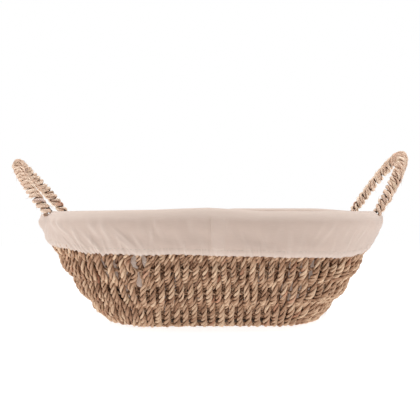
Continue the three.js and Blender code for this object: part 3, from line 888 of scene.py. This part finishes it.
def liner_sides():
    """The two sewn sides. Each is one sheet, with its rows parted at the handle's slit."""
    columns = 720
    rows_s = np.concatenate([
        np.linspace(0, CROWN_PLACE - 30, 46, endpoint=False),
        np.linspace(CROWN_PLACE - 30, PROFILE_S[-1], 92),
    ])
    split = int(np.argmin(np.abs(rows_s - CROWN_PLACE)))
    seams = (("left", 2.5, 4 + FRONT_SEAM, 3.5), ("right", FRONT_SEAM, 2.5, 1.5))
    for side, start, end, middle in seams:
        u = np.linspace(start, end, columns)
        open_half = slit_width((u - middle) * 180)
        s = np.repeat(rows_s[:, None], columns, 1)
        grids = []
        for way, rows in ((-1, slice(0, split + 1)), (1, slice(split, None))):
            fall = np.exp(-np.abs(s[rows] - rows_s[split]) / 7.0)
            grids.append(liner_points(u, s[rows] + way * open_half * fall, s[rows], open_half))
        low, high = grids
        points, uv, shade, see_through = [
            np.concatenate([a.reshape(-1, *a.shape[2:]), b.reshape(-1, *b.shape[2:])])
            for a, b in zip(low, high)
        ]
        index_low = np.arange(low[2].size).reshape(-1, columns)
        index_high = np.arange(high[2].size).reshape(-1, columns) + index_low.size
        index_high[0] = np.where(open_half > SLIT_CLOSED, index_high[0], index_low[-1])
        quads = np.concatenate([sheet_quads(index_low), sheet_quads(index_high)])
        part = (points, quads, uv[quads].reshape(-1, 2), shade, see_through)
        piece = make_mesh(f"liner_cloth_{side}", [part], cloth_finish)
        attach(piece, "root")
        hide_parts(f"liner_side_{side}")


def slit_width(degrees):
    """Half the opening of the handle slit, by angle from the middle of the end."""
    left_over = SLIT_HALF_ANGLE - np.abs(degrees)
    between = 0.9 * smooth(left_over / 2.5)
    at_leg = 3.7 * np.exp(-((np.abs(degrees) - LEG_ANGLE) / 1.9) ** 4)
    return np.where(left_over > 0, np.maximum(between, at_leg * smooth(left_over / 1.5)), 0)


def liner_points(u, place, plain_place, open_half):
    """Points, uv, lightness (with painted light and shade) and see-through share of the cloth at stations
    and places on its profile.
    """
    point, normal = profile_at(place)
    station = np.broadcast_to(u, place.shape)
    end = end_share(station)
    lap = np.mod(station, 4)
    round_trip = oval_distance(lap, CUFF_RADIUS)
    up = HEM_PLACE - plain_place
    on_cuff = smooth((plain_place - CROWN_PLACE - 4) / 6)
    inner = 1 - smooth((plain_place - CROWN_PLACE + 22) / 10)
    off = np.zeros(place.shape)
    over_hem = np.abs(up)
    relief = pleat_field(round_trip, over_hem) + folds(round_trip, up)
    off += on_cuff * relief
    ripple = np.sin(round_trip / 9 + up / 11 + 2 * np.sin(round_trip / 40))
    ripple = ripple * np.sin(up / 9 + round_trip / 31)
    off += on_cuff * 0.7 * ripple * smooth((over_hem - 8) / 10)
    groove = np.exp(-((over_hem - HEM_CASING) / 0.9) ** 2)
    dimple = 0.5 + 0.5 * np.cos(round_trip / STITCH * TURN)
    off -= on_cuff * groove * (0.12 + 0.2 * dimple)
    off += on_cuff * 0.35 * np.exp(-((over_hem - 3.5) / 2.2) ** 2) * (1 + 0.5 * end)
    band = seam_band(station)
    off += 0.45 * band * on_cuff * smooth((over_hem - HEM_CASING) / 1.2)
    seam = seam_line(station)
    off -= 0.5 * seam * (on_cuff + inner * 0.6)
    loose = np.sin(round_trip / 13 + plain_place / 30) * np.sin(plain_place / 17 + round_trip / 60)
    off += inner * (0.55 * loose + inner_folds(round_trip, plain_place))
    bulge = inner * bulge_into_openings(station, point)
    off -= 3.5 * bulge
    edge = np.exp(-np.abs(plain_place - CROWN_PLACE) / 2.2) * (open_half > SLIT_CLOSED)
    off += 0.45 * edge
    inside_turn = smooth((plain_place - HEM_PLACE - 1) / 2)
    off = off * (1 - 1.9 * inside_turn)
    point = point + normal * off[..., None]
    shift_r, shift_z = hem_shift(station, over_hem)
    radius = point[..., 0] + shift_r
    crown = np.exp(-((plain_place - CROWN_PLACE + 6) / 16) ** 4)
    back_rise = 3.4 * smooth((lap - 1.62) / 0.2) * smooth((2.5 - lap) / 0.3)
    height = point[..., 1] + shift_z + (back_rise + np.interp(lap, *FRONT_RISE)) * crown
    xyz = around(station, radius, height)
    uv = np.stack([round_trip, plain_place], -1)
    shade = 0.25 + 0.13 * band * on_cuff + 0.3 * on_cuff * np.exp(-((over_hem - 3) / 3) ** 2)
    # Painted shade in the pleats' valleys and painted light on their crests.
    shade = shade + 0.3 * on_cuff * np.clip(relief - 0.5, -0.6, 0.8)
    # Painted light on the round ends, on the crown and the inside, and on the cloth in the weave's
    # openings.
    shade = np.clip(shade + 0.1 * end * on_cuff + 0.3 * (1 - on_cuff) + 3 * bulge, 0, 1)
    return xyz, uv, shade, 0.12 * inner + 0.3 * bulge


def bulge_into_openings(u, point):
    """1 where the liner presses out into the openings of the weave, 0 away from them."""
    centre, nx, ny = plan(u)
    x = centre + point[..., 0] * nx
    bulge = np.zeros(x.shape)
    for hole_x, hole_z, _ in OPENINGS:
        near = np.exp(-((x - hole_x) / 4.0) ** 4 - ((point[..., 1] - hole_z) / 6.0) ** 2)
        bulge += np.where(ny < 0, near, 0)
    return bulge


def hem_shift(u, over_hem):
    """How far out and up the elastic's pull moves the cuff from the plain profile."""
    end = end_share(u)
    distance = oval_distance(np.mod(u, 4), CUFF_RADIUS)
    near = smooth(1 - over_hem / 42)
    lift = np.interp(np.mod(u, 4), HEM_LINE[0], HEM_LINE[1])
    lift = lift + 0.3 * np.sin(distance / 21 + 0.4) + 0.35 * end * np.sin(distance / 4.5)
    tuck = (0.3 + 2.4 * end) * np.clip(1 - over_hem / 36, 0, 1)
    tuck = tuck * (1 - 0.055 * np.clip(lift, 0, 10))
    return 0.15 * lift * near - tuck, lift * near


def seam_band(u):
    """1 where the cloth is double beside a side seam."""
    distance = past_seam(u) * 2 * STRAIGHT_HALF
    return smooth((distance + 0.3) / 0.8) * smooth((14 - distance) / 1.2)


def past_seam(u):
    """How far station u is past the nearer of the front and back seams."""
    front = np.mod(u - FRONT_SEAM + 2, 4) - 2
    back = np.mod(u - 2.5 + 2, 4) - 2
    return np.where(np.abs(front) < np.abs(back), front, back)


def seam_line(u):
    """1 on a side seam and less on the line beside it, 0 away from them."""
    nearest = np.abs(past_seam(u)) * 2 * STRAIGHT_HALF
    return np.exp(-(nearest / 0.7) ** 2) + 0.6 * np.exp(-((nearest - 1.6) / 0.5) ** 2)


def folds(s, up):
    """Long diagonal drag folds of the cuff, strongest at the round ends."""
    random = np.random.default_rng(11)
    field = np.zeros(np.broadcast(s, up).shape)
    for place in np.arange(0, CUFF_LENGTH, 11.0):
        place = place + random.uniform(-4, 4)
        station = place / CUFF_LENGTH * 4
        end = end_share(station)
        lean = random.normal(0, 0.25) + 1.3 * drag(station)
        middle = random.uniform(8, 34)
        reach = random.uniform(9, 18)
        width = random.uniform(1.6, 3.6)
        gap = round_gap(s - place - lean * (up - 20))
        height = random.uniform(0.3, 0.9) * (0.6 + 1.5 * end)
        field += height * np.exp(-(gap / width) ** 2) * np.exp(-((up - middle) / reach) ** 2)
    return field


def inner_folds(s, place):
    """Loose vertical folds on the inside of the liner."""
    random = np.random.default_rng(31)
    field = np.zeros(np.broadcast(s, place).shape)
    for spot in np.arange(0, CUFF_LENGTH, 17.0):
        spot = spot + random.uniform(-7, 7)
        lean = random.normal(0, 0.18)
        width = random.uniform(2.5, 6)
        height = random.uniform(0.3, 1.1)
        middle = random.uniform(25, 90)
        gap = round_gap(s - spot - lean * (place - 60))
        reach = random.uniform(25, 50)
        field += height * np.exp(-(gap / width) ** 2) * np.exp(-((place - middle) / reach) ** 2)
    return field


def liner_floor():
    """The oval sewn to the foot of the liner's sides."""
    u = np.linspace(0, 4, 361)
    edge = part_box("liner_floor")[1].y / MM
    radii = np.linspace(0, edge + 1.2, 26)
    centre, nx, ny = plan(np.repeat(u[None], len(radii), 0))
    radius = np.repeat(radii[:, None], len(u), 1)
    x, y = centre + radius * nx, radius * ny
    height = 11.3 + 0.25 * np.sin(x / 14 + y / 9) + 0.18 * np.sin(x / 6.5 - y / 11 + 1)
    height = height + 0.2 * smooth((radius - edge + 3) / 4)
    points = np.stack([x, y, height], -1)
    uv = np.stack([x, y], -1)
    part = grid_part(points, uv, np.full(x.shape, 0.4), np.full(x.shape, 0.12))
    piece = make_mesh("liner_bottom", [part], cloth_finish)
    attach(piece, "root")
    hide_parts("liner_floor")


def hem_elastic():
    """The elastic inside the hem, between the cuff and its turned-up edge."""
    u = np.linspace(0, 4, 721)
    levels = np.array([1.4, 3.6, 5.8])
    path = cuff_point(WEAVE_HEIGHT - HEM_DROP + levels, CASING_DEPTH / 2)
    stations, above = np.broadcast_arrays(u, levels[:, None])
    shift_r, shift_z = hem_shift(stations, above)
    points = around(stations, path[:, :1] + shift_r, path[:, 1:] + shift_z)
    uv = np.stack([stations * 200, above], -1)
    flat = np.full(above.shape, 0.5)
    piece = make_mesh("elastic_band", [grid_part(points, uv, flat, flat)], elastic_finish)
    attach(piece, "root")
    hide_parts("hem_elastic")


def stitches():
    """The running stitch that closes the hem."""
    parts = []
    count = int(CUFF_LENGTH / STITCH)
    s = np.full((1, 5), HEM_PLACE - HEM_CASING)
    for k in range(count):
        stations = np.linspace(-0.36, 0.36, 5) * 4 / count + (k + 0.5) / count * 4
        xyz = liner_points(stations, s, s, np.zeros(5))[0]
        _, nx, ny = plan(stations)
        out = np.stack([nx, ny, 0 * nx], -1)
        path = xyz[0] + out * (0.34 - 0.45 * np.array([1, 0.2, 0, 0.2, 1]))[:, None]
        rings = round_rings(path, out, np.cross(tangents(path), out), 0.26, 5)
        parts.append(tube_part(rings, np.arange(5) * 0.5, 0.5, 0.5))
    piece = make_mesh("hem_stitches", parts, thread_finish)
    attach(piece, "root")


# ---- Scene ----

def paint_cad():
    """Gives the CAD pieces that stay in view, the wires, their steel."""
    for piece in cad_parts.values():
        if piece.hide_render:
            continue
        for slot in piece.material_slots:
            slot.material = steel_finish


def surround():
    """A white background that lights the basket only a little."""
    world = bpy.data.worlds.new("studio")
    world.use_nodes = True
    tree = world.node_tree
    tree.nodes.clear()
    path = node(tree, "ShaderNodeLightPath").outputs["Is Camera Ray"]
    fill = node(tree, "ShaderNodeBackground", None, {"Color": (1.0, 0.985, 0.97, 1), "Strength": 0.35})
    seen = node(tree, "ShaderNodeBackground", None, {"Color": (1, 1, 1, 1), "Strength": 1.0})
    both = node(tree, "ShaderNodeMixShader", {0: path, 1: fill.outputs[0], 2: seen.outputs[0]})
    node(tree, "ShaderNodeOutputWorld", {"Surface": both.outputs[0]})
    bpy.context.scene.world = world
    bpy.context.scene.view_settings.view_transform = "Standard"


def lamps():
    """Four soft boxes, each turned to the middle of the basket: place and size in m, power in W."""
    middle = Vector((0, 0, 0.08))
    boxes = [
        ("left_box", (-1.0, -0.05, 0.4), (0.9, 0.9), 4.2),
        ("right_box", (1.0, -0.05, 0.4), (0.9, 0.9), 3.7),
        ("top_box", (0, -0.1, 1.1), (1.2, 0.9), 10.0),
        ("front_box", (-0.2, -1.3, 0.5), (0.8, 0.6), 0.6),
    ]
    for name, place, size, power in boxes:
        data = bpy.data.lights.new(name, "AREA")
        data.shape = "RECTANGLE"
        data.size, data.size_y = size
        data.energy = power
        lamp = bpy.data.objects.new(name, data)
        lamp.location = place
        lamp.rotation_euler = (middle - Vector(place)).to_track_quat("-Z", "Y").to_euler()
        bpy.context.scene.collection.objects.link(lamp)


def floor_plane():
    """A pale floor just under the basket, lit so that it runs into the background."""
    bpy.ops.mesh.primitive_plane_add(size=4.0, location=(0, 0, -0.0005))
    floor = bpy.context.object
    floor.name = "floor"
    floor_finish, tree = material("floor")
    white = node(tree, "ShaderNodeBsdfDiffuse", None, {"Color": (0.5, 0.5, 0.5, 1)})
    lift = node(tree, "ShaderNodeEmission", None, {"Color": (1, 1, 1, 1), "Strength": 0.82})
    both = node(tree, "ShaderNodeAddShader", {0: white.outputs[0], 1: lift.outputs[0]})
    node(tree, "ShaderNodeOutputMaterial", {"Surface": both.outputs[0]})
    floor.data.materials.append(floor_finish)


def camera():
    data = bpy.data.cameras.new("camera")
    data.lens = 70.2
    data.sensor_width = 36
    data.clip_start = 0.05
    shot = bpy.data.objects.new("camera", data)
    shot.location = (-0.044, -0.899, 0.121)
    target = Vector((-0.0022, 0, 0.1218))
    shot.rotation_euler = (target - shot.location).to_track_quat("-Z", "Y").to_euler()
    bpy.context.scene.collection.objects.link(shot)
    bpy.context.scene.camera = shot


weave_panels()
weft_ropes()
base_rounds()
handle_wrap(-1, "left")
handle_wrap(1, "right")
liner_sides()
liner_floor()
hem_elastic()
stitches()
paint_cad()
surround()
lamps()
floor_plane()
camera()
